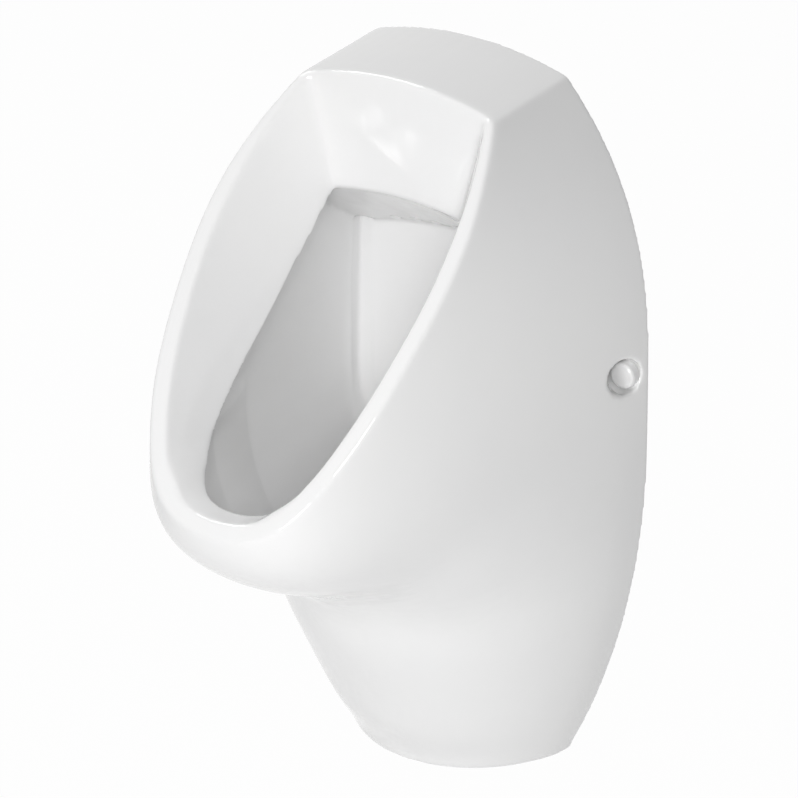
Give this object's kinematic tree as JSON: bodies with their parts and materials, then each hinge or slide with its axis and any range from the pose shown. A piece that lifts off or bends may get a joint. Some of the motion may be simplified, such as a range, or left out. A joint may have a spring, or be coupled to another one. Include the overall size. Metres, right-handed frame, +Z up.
{
  "type": "wall hung urinal",
  "caption": "Wall hung ceramic urinal with a sloping oval rim, deep bowl, rear water inlet, concealed lift-out trap and capped side fixings.",
  "frame": {"origin": "midway between the two wall fixing holes, on the wall plane at the back of the ceramic", "axes": "+Z is up, +Y points into the wall so that the rim and the bowl face -Y, and +X is to the right of a person who stands in front and faces the urinal; X = 0 is the plane of symmetry"},
  "size_m": [0.3192, 0.3947, 0.577],
  "materials": {
    "glaze": "gloss white glaze",
    "cap_plastic": "smooth white",
    "bush_plastic": "plain",
    "fixing_steel": "zinc plated",
    "rubber": "black rubber",
    "pipe_metal": "polished",
    "flange_metal": "satin",
    "strainer_metal": "satin",
    "trap_plastic": "plain",
    "insert_plastic": "plain",
    "pipe_plastic": "plain"
  },
  "bodies": {
    "urinal": {"ceramic_body": "glaze", "inlet_seal": "rubber", "inlet_pipe": "pipe_metal", "flange_seal": "rubber", "waste_flange": "flange_metal", "under_seal": "rubber", "trap_body": "trap_plastic", "outlet_pipe": "pipe_plastic", "cone_seal": "rubber", "outlet_nut": "trap_plastic", "wall_sleeve": "rubber", "bush_left": "bush_plastic", "bush_right": "bush_plastic", "washer_left": "fixing_steel", "washer_right": "fixing_steel", "nut_left": "fixing_steel", "nut_right": "fixing_steel"},
    "cap_left": {"cap_left": "cap_plastic"},
    "cap_right": {"cap_right": "cap_plastic"},
    "insert": {"trap_insert": "insert_plastic", "insert_ring": "rubber"},
    "strainer": {"strainer": "strainer_metal"}
  },
  "joints": [
    {"name": "cap_left_pull", "type": "slide", "parent": "urinal", "child": "cap_left", "axis": [0, -1, 0], "range_m": [0, 0.008]},
    {"name": "cap_right_pull", "type": "slide", "parent": "urinal", "child": "cap_right", "axis": [0, -1, 0], "range_m": [0, 0.008]},
    {"name": "insert_lift", "type": "slide", "parent": "urinal", "child": "insert", "axis": [0, 0, 1], "range_m": [0, 0.13]},
    {"name": "strainer_lift", "type": "slide", "parent": "insert", "child": "strainer", "axis": [0, 0, 1], "range_m": [0, 0.05]}
  ]
}
